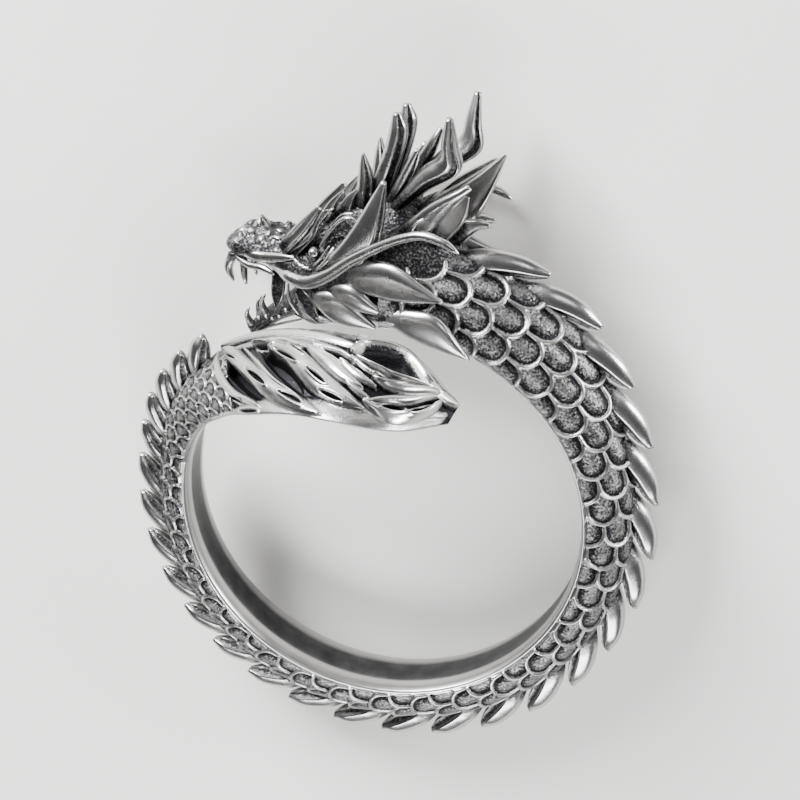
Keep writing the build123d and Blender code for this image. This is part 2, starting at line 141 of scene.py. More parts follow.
# Horns, leaves, plates and teeth of one side. Each has a fore and an aft edge, as places along and up
# from the nape, and how far out it stands from its root to its tip, as shares of the head's sizes;
# then its thickness in shares of the half width, and the kind of its face.
LEAVES = {
    "horns": [
        ([(0.50, 0.90), (0.489, 1.17), (0.474, 1.345)], [(0.44, 0.90), (0.434, 1.13), (0.464, 1.348)],
         (0.32, 0.37, 0.41), 0.34, "horn"),
        ([(0.47, 0.94), (0.404, 1.364), (0.368, 1.690)], [(0.39, 0.94), (0.316, 1.502), (0.339, 1.698)],
         (0.18, 0.22, 0.24), 0.42, "horn"),
        ([(0.38, 1.00), (0.299, 1.344), (0.257, 1.483)], [(0.33, 1.00), (0.263, 1.274), (0.238, 1.468)],
         (0.38, 0.48, 0.56), 0.26, "horn"),
        ([(0.36, 0.98), (0.244, 1.311), (0.171, 1.445), (0.154, 1.611), (0.132, 1.800)],
         [(0.32, 0.94), (0.206, 1.151), (0.092, 1.342), (0.098, 1.565), (0.107, 1.796)],
         (0.40, 0.46, 0.52, 0.60, 0.70), 0.44, "horn"),
    ],
    "mane_leaves": [
        ([(0.320, 0.80), (0.190, 1.081), (0.051, 1.279)], [(0.210, 0.76), (0.111, 1.068), (0.033, 1.245)],
         (0.60, 0.70, 0.70), 0.24, "petal"),
        ([(0.257, 0.76), (0.146, 1.004), (0.068, 1.163)], [(0.173, 0.66), (0.074, 0.931), (0.050, 1.155)],
         (0.42, 0.54, 0.58), 0.26, "leaf"),
        ([(0.120, 0.88), (0.059, 0.902), (0.010, 0.887)], [(0.113, 0.66), (0.051, 0.805), (0.002, 0.848)],
         (0.12, 0.14, 0.14), 0.30, "leaf"),
    ],
    "brow_plates": [
        ([(0.614, 0.40), (0.487, 0.749), (0.349, 1.263)], [(0.40, 0.46), (0.345, 0.863), (0.333, 1.244)],
         (0.84, 1.00, 1.00), 0.36, "blade"),
        ([(0.785, 0.50), (0.712, 0.700), (0.631, 0.885)], [(0.76, 0.40), (0.668, 0.630), (0.612, 0.860)],
         (0.54, 0.62, 0.60), 0.18, "plate"),
        ([(0.74, 0.461), (0.650, 0.650), (0.600, 0.880)], [(0.698, 0.45), (0.618, 0.727), (0.552, 0.918)],
         (0.60, 0.78, 0.76), 0.18, "lined"),
        ([(0.65, 0.74), (0.592, 0.92), (0.544, 1.025)], [(0.59, 0.74), (0.561, 0.906), (0.536, 1.011)],
         (0.40, 0.46, 0.48), 0.22, "plate"),
        ([(0.58, 0.80), (0.537, 0.96), (0.491, 1.050)], [(0.51, 0.80), (0.498, 0.941), (0.484, 1.036)],
         (0.36, 0.38, 0.42), 0.22, "plate"),
    ],
    "cheek_leaves": [
        ([(0.53, 0.47), (0.318, 0.605), (0.102, 0.407)], [(0.51, 0.31), (0.318, 0.290), (0.094, 0.376)],
         (0.86, 1.10, 1.28), 0.30, "petal"),
        ([(0.57, 0.31), (0.464, 0.350), (0.336, 0.177)], [(0.55, 0.18), (0.442, 0.140), (0.336, 0.143)],
         (0.84, 1.02, 1.06), 0.28, "petal"),
        ([(0.63, 0.23), (0.517, 0.250), (0.374, 0.029)], [(0.64, 0.11), (0.530, -0.010), (0.378, -0.013)],
         (0.78, 0.94, 0.98), 0.28, "petal"),
        ([(0.695, 0.19), (0.635, 0.126), (0.606, -0.059)], [(0.71, 0.13), (0.675, 0.010), (0.622, -0.072)],
         (0.64, 0.76, 0.78), 0.22, "scale"),
        ([(0.400, 0.150), (0.229, 0.243), (0.116, 0.209), (0.009, -0.058)],
         [(0.400, 0.118), (0.250, 0.002), (0.108, -0.058), (0.003, -0.094)],
         (0.84, 1.06, 1.14, 1.14), 0.30, "petal"),
        ([(0.70, 0.06), (0.622, 0.003), (0.494, -0.060)], [(0.72, -0.09), (0.615, -0.114), (0.486, -0.100)],
         (0.56, 0.68, 0.72), 0.26, "fin"),
    ],
    "teeth": [
        ([(1.010, 0.30), (1.024, 0.165), (0.990, 0.060)], [(0.970, 0.30), (0.992, 0.172), (0.984, 0.064)],
         (0.26, 0.29, 0.30), 0.20, "tooth"),
        ([(0.970, 0.28), (0.963, 0.125), (0.948, 0.036)], [(0.940, 0.28), (0.938, 0.118), (0.939, 0.040)],
         (0.22, 0.24, 0.24), 0.17, "tooth"),
        ([(0.818, 0.26), (0.821, 0.075), (0.806, -0.057)], [(0.764, 0.26), (0.770, 0.060), (0.798, -0.054)],
         (0.48, 0.52, 0.52), 0.16, "scale"),
        ([(0.943, -0.34), (0.950, -0.219), (0.934, -0.149)],
         [(0.905, -0.32), (0.932, -0.221), (0.926, -0.155)],
         (0.20, 0.26, 0.28), 0.14, "tooth"),
        ([(0.880, -0.22), (0.884, -0.081), (0.866, -0.004)],
         [(0.840, -0.20), (0.867, -0.084), (0.859, -0.009)],
         (0.26, 0.31, 0.32), 0.14, "tooth"),
    ],
}
MIDDLE_LEAVES = [
    ([(0.30, 0.90), (0.105, 1.202), (-0.037, 1.450)], [(0.13, 0.62), (0.021, 1.050), (-0.045, 1.436)],
     (0.0, 0.0, 0.0), 0.24, "leaf"),
    ([(0.955, 0.40), (0.928, 0.530), (0.905, 0.606)], [(0.830, 0.40), (0.868, 0.530), (0.898, 0.602)],
     (0.0, 0.0, 0.0), 0.40, "spine"),
]

# Faces: place of the crest from the aft edge at -1 to the fore edge at 1, how far the face is sunk
# before and behind it, how sharp the crest is, and how bright the raised and the sunk faces are
KINDS = {
    # kind: (crest, fore sink, aft sink, sharpness, raised polish, sunk polish)
    "horn": (-0.20, 0.00, 0.62, 1.0, 0.85, 0.22),
    "blade": (-0.60, 0.00, 0.45, 1.0, 0.95, 0.30),
    "plate": (-0.50, 0.45, 0.00, 1.0, 0.95, 0.58),
    "lined": (-0.60, 0.60, 0.00, 1.0, 0.95, 0.30),
    "leaf": (0.00, 0.60, 0.60, 0.0, 0.70, 0.62),
    "scale": (0.00, 0.60, 0.60, 0.0, 0.30, 0.16),
    "spine": (-0.25, 0.00, 0.45, 1.0, 0.90, 0.30),
    "petal": (0.15, 0.00, 0.00, 0.0, 0.90, 0.10),
    "fin": (0.35, 0.00, 0.30, 1.0, 0.80, 0.55),
    "tooth": (0.00, 0.00, 0.00, 0.0, 0.90, 0.10),
}

# Raised lines of one side: their places along, up and out, their half width and half height
CORDS = [
    ([(1.010, 0.365, 0.16), (0.913, 0.345, 0.42), (0.835, 0.360, 0.51), (0.715, 0.425, 0.68)], 0.27, 0.19),
    ([(0.990, 0.280, 0.28), (0.920, 0.250, 0.42), (0.856, 0.260, 0.51), (0.800, 0.240, 0.60)], 0.18, 0.17),
    ([(0.722, 0.457, 0.73), (0.677, 0.401, 0.83), (0.631, 0.392, 0.87)], 0.09, 0.10),
    ([(0.612, 0.395, 0.90), (0.568, 0.500, 0.92), (0.547, 0.610, 0.84)], 0.12, 0.14),
    ([(0.628, 0.420, 0.87), (0.588, 0.520, 0.86), (0.566, 0.610, 0.82)], 0.06, 0.10),
    ([(0.610, 0.570, 0.76), (0.553, 0.758, 0.84), (0.495, 0.877, 0.88), (0.440, 0.850, 0.90)], 0.11, 0.15),
    ([(0.572, 0.745, 0.74), (0.525, 0.865, 0.74), (0.478, 0.905, 0.76)], 0.06, 0.10),
    ([(0.742, 0.200, 0.66), (0.737, 0.058, 0.66), (0.696, -0.091, 0.60)], 0.08, 0.10),
    ([(0.927, -0.386, 0.20), (0.821, -0.247, 0.36), (0.673, -0.085, 0.60)], 0.07, 0.09),
    ([(0.258, 0.800, 0.80), (0.238, 0.900, 0.80), (0.205, 0.965, 0.76)], 0.08, 0.10),
    ([(0.975, 0.440, 0.22), (0.960, 0.490, 0.22), (0.940, 0.510, 0.18)], 0.11, 0.13),
    ([(0.825, 0.545, 0.20), (0.800, 0.535, 0.24)], 0.09, 0.10),
    ([(0.830, 0.505, 0.32), (0.795, 0.500, 0.36)], 0.09, 0.10),
]
KNOBS = [
    # along, up, out, radius in millimetres
    (1.000, 0.365, 0.16, 0.38),
    (0.965, 0.400, 0.32, 0.32),
    (0.952, 0.485, 0.16, 0.34),
    (0.920, 0.510, 0.24, 0.26),
    (0.905, 0.430, 0.36, 0.22),
    (0.884, 0.525, 0.12, 0.30),
    (0.872, 0.470, 0.34, 0.20),
    (0.850, 0.505, 0.24, 0.20),
    (0.845, 0.425, 0.42, 0.18),
    (0.820, 0.470, 0.38, 0.17),
    (0.812, 0.520, 0.14, 0.20),
    (0.800, 0.430, 0.50, 0.16),
    (0.792, 0.490, 0.40, 0.17),
    (0.770, 0.520, 0.24, 0.18),
]
BEADS = [
    # along, up, out, radius in millimetres
    (0.631, 0.518, 0.76, 0.27),
    (0.925, 0.462, 0.30, 0.11),
    (0.905, 0.475, 0.31, 0.09),
    (0.888, 0.445, 0.37, 0.09),
    (0.862, 0.450, 0.40, 0.08),
    (0.893, -0.225, 0.28, 0.10),
    (0.856, -0.190, 0.34, 0.11),
    (0.827, -0.185, 0.40, 0.10),
    (0.796, -0.145, 0.45, 0.10),
    (0.765, -0.070, 0.50, 0.11),
    (0.710, 0.445, 0.78, 0.10),
    (0.690, 0.420, 0.81, 0.10),
    (0.668, 0.403, 0.84, 0.10),
    (0.645, 0.398, 0.87, 0.09),
]

WHISKER = [
    # along, up, out, half width in millimetres
    (0.830, 0.300, 0.54, 0.12),
    (0.780, 0.292, 0.66, 0.20),
    (0.734, 0.285, 0.80, 0.32),
    (0.646, 0.290, 0.94, 0.36),
    (0.554, 0.400, 1.04, 0.31),
    (0.452, 0.585, 1.14, 0.27),
    (0.308, 0.794, 1.22, 0.24),
    (0.190, 0.906, 1.28, 0.24),
    (0.100, 0.896, 1.32, 0.25),
    (0.055, 0.855, 1.34, 0.22),
    (0.031, 0.826, 1.34, 0.12),
]

# Ribs of the tuft's flanks: places along the tail and up the flank, half width at the start, the
# middle and the end, and height above the flank, in millimetres
NEAR_RIBS = [
    ([(0.371, 0.98), (0.43, 0.97), (0.53, 0.92), (0.624, 0.85), (0.693, 0.78), (0.745, 0.72)],
     (0.16, 0.30, 0.20), 0.18),
    ([(0.40, 0.86), (0.53, 0.80), (0.62, 0.73), (0.70, 0.67)], (0.20, 0.34, 0.20), -0.06),
    ([(0.378, 0.84), (0.380, 0.66), (0.396, 0.40), (0.436, 0.18), (0.52, 0.05)], (0.16, 0.24, 0.14), 0.14),
    ([(0.398, 0.84), (0.421, 0.77), (0.485, 0.41), (0.554, 0.17), (0.634, 0.07), (0.700, 0.03)],
     (0.26, 0.42, 0.16), 0.20),
    ([(0.455, 0.78), (0.51, 0.49), (0.564, 0.26), (0.634, 0.12)], (0.10, 0.12, 0.08), 0.10),
    ([(0.53, 0.72), (0.609, 0.50), (0.673, 0.29), (0.738, 0.18), (0.802, 0.12)], (0.36, 0.50, 0.16), 0.22),
    ([(0.485, 0.76), (0.569, 0.74), (0.624, 0.62)], (0.12, 0.20, 0.14), 0.16),
    ([(0.634, 0.64), (0.683, 0.51), (0.738, 0.37), (0.785, 0.29)], (0.26, 0.34, 0.14), 0.18),
    ([(0.639, 0.67), (0.698, 0.64), (0.750, 0.55)], (0.14, 0.16, 0.08), 0.14),
    ([(0.715, 0.53), (0.762, 0.42), (0.812, 0.34)], (0.14, 0.20, 0.10), 0.12),
    ([(0.738, 0.60), (0.777, 0.50), (0.832, 0.43)], (0.08, 0.11, 0.06), 0.12),
    ([(0.745, 0.62), (0.797, 0.565), (0.851, 0.565), (0.925, 0.73)], (0.10, 0.14, 0.12), 0.12),
    ([(0.790, 0.47), (0.837, 0.43), (0.886, 0.50), (0.945, 0.72)], (0.16, 0.32, 0.22), 0.18),
    ([(0.745, 0.31), (0.782, 0.25), (0.812, 0.20)], (0.10, 0.15, 0.10), 0.14),
    ([(0.797, 0.19), (0.851, 0.27), (0.901, 0.38), (0.945, 0.62)], (0.16, 0.24, 0.16), 0.16),
    ([(0.790, 0.19), (0.842, 0.13), (0.896, 0.13), (0.941, 0.27), (0.955, 0.58)], (0.16, 0.32, 0.22), 0.20),
    ([(0.735, 0.78), (0.760, 0.90), (0.82, 0.96), (0.865, 0.94), (0.915, 0.84), (0.955, 0.78)],
     (0.10, 0.16, 0.16), 0.16),
    ([(0.735, 0.66), (0.742, 0.74), (0.752, 0.80)], (0.14, 0.17, 0.12), 0.24),
    ([(0.920, 0.76), (0.960, 0.84), (1.00, 0.90)], (0.20, 0.22, 0.16), 0.14),
    ([(0.40, 0.00), (0.515, 0.00), (0.634, -0.02), (0.75, -0.01), (0.86, 0.00), (0.93, 0.03), (0.985, 0.20)],
     (0.40, 0.68, 0.50), 0.04),
]
FAR_RIBS = [
    ([(0.38, 0.95), (0.50, 0.80), (0.64, 0.62), (0.80, 0.50)], (0.16, 0.34, 0.14), 0.14),
    ([(0.40, 0.70), (0.52, 0.50), (0.66, 0.34), (0.80, 0.26)], (0.16, 0.34, 0.14), 0.14),
    ([(0.40, 0.40), (0.52, 0.22), (0.66, 0.10), (0.80, 0.04)], (0.16, 0.30, 0.14), 0.12),
    ([(0.56, 0.92), (0.68, 0.78), (0.82, 0.68), (0.95, 0.66)], (0.14, 0.32, 0.12), 0.14),
    ([(0.72, 0.94), (0.82, 0.88), (0.92, 0.84), (0.99, 0.84)], (0.12, 0.24, 0.10), 0.12),
    ([(0.72, 0.40), (0.82, 0.30), (0.92, 0.34), (0.98, 0.52)], (0.12, 0.30, 0.14), 0.12),
    ([(0.72, 0.14), (0.82, 0.08), (0.92, 0.10), (0.98, 0.24)], (0.14, 0.30, 0.14), 0.12),
]

# Openings of the near flank: from one place to another, with half width, depth and bow to one side
# in millimetres. The first three lie between the ribs, the others in them.
GAPS = [
    # along, share, along, share, half width, depth, bow
    (0.396, 0.68, 0.520, 0.10, 0.40, 0.95, -0.06),
    (0.512, 0.67, 0.636, 0.16, 0.36, 0.95, 0.00),
    (0.738, 0.72, 0.922, 0.77, 1.05, 0.95, 0.30),
]
SLITS = [
    # along, share, along, share, half width, depth, bow
    (0.406, 0.76, 0.455, 0.54, 0.08, 0.40, 0.00),
    (0.488, 0.39, 0.542, 0.21, 0.13, 0.40, 0.00),
    (0.577, 0.15, 0.646, 0.075, 0.10, 0.40, 0.00),
    (0.494, 0.745, 0.551, 0.66, 0.10, 0.40, 0.00),
    (0.557, 0.59, 0.621, 0.42, 0.10, 0.40, 0.00),
    (0.587, 0.66, 0.636, 0.51, 0.08, 0.40, 0.00),
    (0.646, 0.37, 0.700, 0.25, 0.10, 0.40, 0.00),
    (0.686, 0.19, 0.749, 0.14, 0.11, 0.40, 0.00),
    (0.661, 0.61, 0.740, 0.53, 0.16, 0.35, 0.05),
    (0.797, 0.445, 0.868, 0.515, 0.12, 0.40, 0.00),
    (0.835, 0.185, 0.893, 0.225, 0.11, 0.40, 0.00),
    (0.903, 0.215, 0.944, 0.47, 0.13, 0.40, -0.05),
    (0.399, 0.20, 0.457, 0.09, 0.07, 0.35, 0.00),
    (0.443, 0.03, 0.512, 0.02, 0.07, 0.30, 0.00),
]


def smoothstep(low, high, x):
    """Rises from 0 at low to 1 at high as three squares less two cubes of the share between them."""
    share = np.clip((x - low) / (high - low), 0, 1)
    return share * share * (3 - 2 * share)


def bell(x, width):
    """One over e to the square of x over width."""
    return np.exp(-((x / width) ** 2))


def unit(vectors):
    """Vectors over their lengths."""
    return vectors / np.linalg.norm(vectors, axis=-1, keepdims=True)


def follow(table, place):
    """Values of a table at any places: cubics between its rows, with the rows' own differences as slopes."""
    rows = np.asarray(table, float)
    along, values = rows[:, 0], rows[:, 1:]
    slopes = np.gradient(values, along, axis=0)
    at = np.clip(np.searchsorted(along, place) - 1, 0, len(along) - 2)
    step = (along[at + 1] - along[at])[..., None]
    t = np.clip((place - along[at])[..., None] / step, 0, 1)
    ends = values[at] * (1 + 2 * t) * (1 - t) ** 2 + values[at + 1] * t * t * (3 - 2 * t)
    return ends + step * t * (1 - t) * (slopes[at] * (1 - t) - slopes[at + 1] * t)


def through(points, t):
    """Smooth curve through any points at equal steps of t, by the cubics of a table."""
    points = np.asarray(points, float).reshape(len(points), -1)
    return follow(np.column_stack([np.linspace(0, 1, len(points)), points]), t)


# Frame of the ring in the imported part's frame, from its finger bore
bore = frame["record"]["mounts"][0]
axis_way = -unit(np.array(bore["axis"]))
right_way = unit(np.cross((0, 1, 0), axis_way))
ring_ways = np.stack([right_way, np.cross(axis_way, right_way), axis_way])
MILLIMETRE = 0.001


def to_row(points):
    """Places of the ring's frame, in millimetres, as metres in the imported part's frame."""
    return np.array(bore["pos_m"]) + (points @ ring_ways) * MILLIMETRE


class Casting:
    """Closed surfaces gathered into one mesh, with how polished the metal is at each point, which on the
    inner wall and the scales' domes also holds painted shade and painted highlight.
    """

    def __init__(self):
        self.points, self.polish, self.faces, self.count = [], [], [], 0

    def add(self, rings, polish):
        """Adds tubes of rings, copies by along by around, each closed at its ends by a middle point."""
        copies, along, around = rings.shape[:3]
        middles = rings[:, [0, -1]].mean(axis=2)
        shade = np.broadcast_to(polish, rings.shape[:3])
        points = np.concatenate([rings.reshape(copies, -1, 3), middles], axis=1)
        shades = np.concatenate([shade.reshape(copies, -1), shade[:, [0, -1]].mean(axis=2)], axis=1)
        index = np.arange(along * around).reshape(along, around)
        onward = np.roll(index, -1, axis=1)
        quads = np.stack([index[:-1], onward[:-1], onward[1:], index[1:]], axis=-1).reshape(-1, 4)
        first = np.full(around, along * around)
        fans = np.concatenate([
            np.stack([first, onward[0], index[0]], axis=-1),
            np.stack([first + 1, index[-1], onward[-1]], axis=-1),
        ])
        corners = points[:, quads]
        normals = np.cross(corners[:, :, 2] - corners[:, :, 0], corners[:, :, 3] - corners[:, :, 1])
        inside_out = (corners[:, :, 0] * normals).sum(axis=(1, 2)) < 0
        start = self.count + np.arange(copies)[:, None, None] * points.shape[1]
        for faces in (quads, fans):
            placed = start + faces
            placed = np.where(inside_out[:, None, None], placed[..., ::-1], placed)
            self.faces.extend(placed.reshape(-1, faces.shape[1]).tolist())
        self.points.append(points.reshape(-1, 3))
        self.polish.append(shades.reshape(-1))
        self.count += points.shape[0] * points.shape[1]

    def piece(self, name, material):
        """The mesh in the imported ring's place, as a piece of the ring."""
        mesh = bpy.data.meshes.new(name)
        mesh.from_pydata(to_row(np.concatenate(self.points)).tolist(), [], self.faces)
        mesh.attributes.new("polish", "FLOAT", "POINT").data.foreach_set("value", np.concatenate(self.polish))
        mesh.polygons.foreach_set("use_smooth", np.ones(len(mesh.polygons), bool))
        mesh.materials.append(material)
        made = bpy.data.objects.new(name, mesh)
        bpy.context.scene.collection.objects.link(made)
        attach(made, "root")
        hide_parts("dragon_ring")
        return made


def round_hoop(turn, out, axial):
    """Place at degrees clockwise from the neck, millimetres out from the bore wall and along the axis."""
    angle = np.radians(NECK_ANGLE - turn)
    radius = BORE_RADIUS + out
    return np.stack(np.broadcast_arrays(radius * np.cos(angle), radius * np.sin(angle), axial), axis=-1)


def head(along, up, out):
    """Place in the head from shares of its length, height and half width, turned about its pivot."""
    x = NAPE_X - PIVOT[0] - along * HEAD_LENGTH
    y = BORE_RADIUS + up * HEAD_HEIGHT
    z = out * HEAD_HALF
    turn = radians(HEAD_TURN)
    placed = (x * cos(turn) - z * sin(turn) + PIVOT[0], y, x * sin(turn) + z * cos(turn))
    return np.stack(np.broadcast_arrays(*placed), axis=-1)


# Way out of the head's near side, and how far along the axis the finger bore reaches
near_side = np.array([-sin(radians(HEAD_TURN)), 0, cos(radians(HEAD_TURN))])
BORE_FACE = 2.4


def outside_bore(points, clearance):
    """Points of the head that lie in the finger's bore, moved straight out to just above its wall."""
    radius = np.linalg.norm(points[..., :2], axis=-1)
    grow = np.where(points[..., 2] < BORE_FACE, np.maximum(1, (BORE_RADIUS + clearance) / radius), 1)
    return points * np.stack([grow, grow, np.ones(grow.shape)], axis=-1)


def section(turn):
    """Near corner, ridge, far corner and the two swells of the body's section, out and along the axis."""
    neck, tail = np.moveaxis(follow(BAND, turn / BAND_SWEEP), -1, 0)
    height = BAND_HEIGHT + neck * (NECK_HEIGHT - BAND_HEIGHT) + tail * (TAIL_HEIGHT - BAND_HEIGHT)
    half = (BAND_WIDTH + neck * (NECK_WIDTH - BAND_WIDTH) + tail * (TAIL_WIDTH - BAND_WIDTH)) / 2
    row = np.moveaxis(follow(TAIL, (turn - BAND_SWEEP) / TAIL_SWEEP), -1, 0)
    ridge_height, ridge_reach, near_sink, near_reach, far_sink, far_reach, near_swell, far_swell = row
    on_tail = turn > BAND_SWEEP
    half_tail = TAIL_WIDTH / 2
    near_out = EDGE_BEVEL - near_sink * TUFT_SINK
    near_axial = np.where(on_tail, half_tail + near_reach * (TUFT_REACH - half_tail), half)
    ridge_out = np.where(on_tail, ridge_height * TAIL_HEIGHT, height)
    ridge_axial = np.where(on_tail, ridge_reach * TUFT_REACH, 0)
    far_out = EDGE_BEVEL - far_sink * TUFT_SINK
    far_axial = np.where(on_tail, far_reach * TUFT_REACH - half_tail, -half)
    near = np.stack([near_out, near_axial], axis=-1)
    ridge = np.stack([ridge_out, ridge_axial], axis=-1)
    far = np.stack([far_out, far_axial], axis=-1)
    swell = np.where(on_tail, TAIL_HEIGHT, height)
    return near, ridge, far, near_swell * swell, far_swell * swell


def flank(turn, share, side, lift):
    """Point of a flank: straight from its edge to the ridge, bowed by a parabola and lifted squarely."""
    near, ridge, far, near_swell, far_swell = section(turn)
    corner, swell = (near, near_swell) if side > 0 else (far, far_swell)
    chord = ridge - corner
    square = side * unit(np.stack([-chord[..., 1], chord[..., 0]], axis=-1))
    share, swell = share[..., None], swell[..., None]
    point = corner + chord * share + square * (4 * swell * share * (1 - share))
    slope = chord + square * (4 * swell * (1 - 2 * share))
    point = point + side * unit(np.stack([-slope[..., 1], slope[..., 0]], axis=-1)) * lift[..., None]
    return round_hoop(turn, point[..., 0], point[..., 1])


def step_at(turn):
    """Number of scales from the neck to a turn, where the pitch shrinks evenly: a square root."""
    grow = 1 + PITCH_FADE
    return SCALE_COUNT * (grow - np.sqrt(grow**2 - 4 * PITCH_FADE * turn / BAND_SWEEP)) / (2 * PITCH_FADE)


def turn_at(step):
    """Degrees from the neck to a scale, the other way round."""
    share = step / SCALE_COUNT
    return BAND_SWEEP * share * (1 + PITCH_FADE - PITCH_FADE * share)


# Scales: their rows, counted from the flank's edge in spacings
ROW_SPACING = 0.29
FIRST_ROW = 0.2
SCALE_HALF = 1.1

# Scales: lengths and heights in pitches
SCALE_TIP = 1.25
SCALE_STRAIGHT = 0.94
RIM_WIDTH = 0.08
RIM_RISE = 0.065
DOME_RISE = 0.065
SCALE_RISE = 0.125
ROOT_DROP = 0.13
GROUND_DROP = 0.12

# Scales: the dome's reach and polish as shares of the dish, and the skin's points along and across. The
# dome's polish is partly a worn top and partly a painted highlight that brightens the middle of each dish.
DOME_REACH = 0.70
DOME_POLISH_AND_HIGHLIGHT = 0.42
SKIN_ALONG, SKIN_ACROSS = 1100, 78
UNDER_SHARES = (0.94, 0.5, 0.10)
UNDER_DEPTH = 0.5


def scale_relief(turn, share, side):
    """Height and polish of the scales. Each is a U: straight arms, then half an ellipse. It has a round
    rim and a domed dish, rises evenly to its tip, and lies over those whose roots are further on."""
    near, ridge, far, _, _ = section(turn)
    width = np.linalg.norm(ridge - (near if side > 0 else far), axis=-1)
    step = step_at(turn)
    pitch = np.radians(turn_at(step + 0.5) - turn_at(step - 0.5)) * (BORE_RADIUS + BAND_HEIGHT / 2)
    line = share * width / (ROW_SPACING * pitch) - FIRST_ROW
    height = -GROUND_DROP * pitch
    polish = np.zeros(turn.shape)
    topmost = np.zeros(turn.shape)
    for row in range(-1, int(line.max()) + 2):
        place = step - 0.5 * (row % 2)
        across = (line - row) / SCALE_HALF
        for before in (0, 1):
            along = place - np.floor(place) + before
            bend = np.maximum(0, (along - SCALE_STRAIGHT) / (SCALE_TIP - SCALE_STRAIGHT))
            reach = np.sqrt(across**2 + bend**2)
            inward = (1 - reach) * ROW_SPACING * SCALE_HALF
            wide = RIM_WIDTH * (0.62 + 0.38 * smoothstep(0.55, 1.10, along))
            rim = np.sqrt(np.clip(1 - (2 * inward / wide - 1) ** 2, 0, 1))
            dome = np.clip(1 - (reach / DOME_REACH) ** 2, 0, 1)
            rise = pitch * (SCALE_RISE * along + RIM_RISE * rim + DOME_RISE * dome - ROOT_DROP)
            order = along - 0.02 * np.abs(across)
            on_top = (reach < 1) & (order > topmost)
            topmost = np.where(on_top, order, topmost)
            height = np.where(on_top, rise, height)
            # Polish of the rim and of the dome; the dome's is partly wear and partly a painted highlight
            polish = np.where(on_top, np.maximum(rim, DOME_POLISH_AND_HIGHLIGHT * dome), polish)
    fade = smoothstep(0, 0.05, share) * smoothstep(0, 0.05, 1 - share)
    return height * fade, polish * fade + (1 - smoothstep(0.01, 0.04, share))


def scaled_flank(side):
    """One flank's skin on a grid of turns and shares, closed by three rows under the surface."""
    turns = np.linspace(SKIN_START, SKIN_END, SKIN_ALONG)[:, None]
    shares = np.linspace(0, 1, SKIN_ACROSS)[None, :]
    turn, share = np.broadcast_arrays(turns, shares)
    height, polish = scale_relief(turn, share, side)
    skin = flank(turn, share, side, height)
    under_turn, under_share = np.broadcast_arrays(turns, np.array([UNDER_SHARES]))
    under = flank(under_turn, under_share, side, np.full(under_turn.shape, -UNDER_DEPTH))
    rings = np.concatenate([skin, under], axis=1)
    shade = np.concatenate([polish, np.zeros(under_turn.shape)], axis=1)
    casting = Casting()
    casting.add(rings[None], shade[None])
    return casting


# Inner wall from its far edge to its near edge, with drops in millimetres below the edges. Its polish is
# partly the metal's own polish and oxide and partly painted shade: the low polish across the middle darkens
# the wall's colour in place of a dark reflection.
WALL = [
    # across, drop, polish with painted shade
    (0.000, 0.00, 0.90),
    (0.010, 0.12, 0.85),
    (0.040, 0.24, 0.95),
    (0.100, 0.29, 0.90),
    (0.180, 0.30, 0.65),
    (0.290, 0.31, 0.22),
    (0.500, 0.30, 0.18),
    (0.650, 0.30, 0.20),
    (0.740, 0.30, 0.30),
    (0.785, 0.25, 0.95),
    (0.900, 0.19, 0.50),
    (0.970, 0.12, 0.90),
    (1.000, 0.00, 1.00),
]
WALL_BACK = (0.88, 0.5, 0.12)
WALL_THICKNESS = 0.25


def inner_wall(turns):
    """Inner wall as a closed strip: from edge to edge by its own curve, and back inside the body."""
    near, _, far, _, _ = section(turns)
    across, drop, polish = np.array(WALL).T
    down = np.stack([drop, np.zeros(len(drop))], axis=-1)
    face = far[:, None] + (near - far)[:, None] * across[:, None] - down
    back = far[:, None] + (near - far)[:, None] * np.array(WALL_BACK)[:, None]
    back = back + np.array([WALL_THICKNESS, 0])
    loop = np.concatenate([face, back], axis=1)
    shade = np.broadcast_to(np.concatenate([polish, np.zeros(len(WALL_BACK))]), loop.shape[:2])
    return round_hoop(turns[:, None], loop[..., 0], loop[..., 1]), shade


# Tuft: where it starts along the tail and how its ribs blend, with lengths in millimetres
TUFT_START = 0.372
TUFT_RADIUS = 10.2
TUFT_LIP = 0.25
TUFT_PROUD = 0.12
TUFT_ROOT_SINK = 0.25
TUFT_ALONG, NEAR_ACROSS, FAR_ACROSS = 505, 146, 24
FLOOR_DEPTH = 0.30
RIB_SWELL = 1.4
RIB_BLEND = 0.04
RIB_POINTS = 26
LENS_TAPER = 0.7
SLIT_LIP = 0.06

# Polish of the tuft's floor, of its flat ribs, which stand no higher than LOW_RIB, and of the round ones
FLOOR_POLISH = 0.02
FLAT_POLISH = 0.60
ROUND_POLISH = 0.95
LOW_RIB = 0.05


def unrolled(turn, share):
    """Near flank laid flat: arc round the finger and place up the flank, in millimetres."""
    near, ridge, _, _, _ = section(turn)
    width = np.linalg.norm(ridge - near, axis=-1)
    return np.stack([np.radians(turn) * TUFT_RADIUS, share * width], axis=-1)


def inside_lens(place, row):
    """Millimetres inside a lens between two places of the flank: its half width thins to both ends."""
    start, end = (unrolled(BAND_SWEEP + np.array(row[i]) * TAIL_SWEEP, np.array(row[i + 1])) for i in (0, 2))
    half_width, bow = row[4], row[6]
    length = np.linalg.norm(end - start)
    way = (end - start) / length
    offset = place - (start + end) / 2
    t = (offset @ way) / (length / 2)
    swell = np.clip(1 - t * t, 0, 1)
    across = offset @ np.array([-way[1], way[0]]) - bow * swell
    past_the_end = np.maximum(np.abs(t) - 1, 0) * length / 2
    return half_width * swell**LENS_TAPER - np.abs(across) - past_the_end


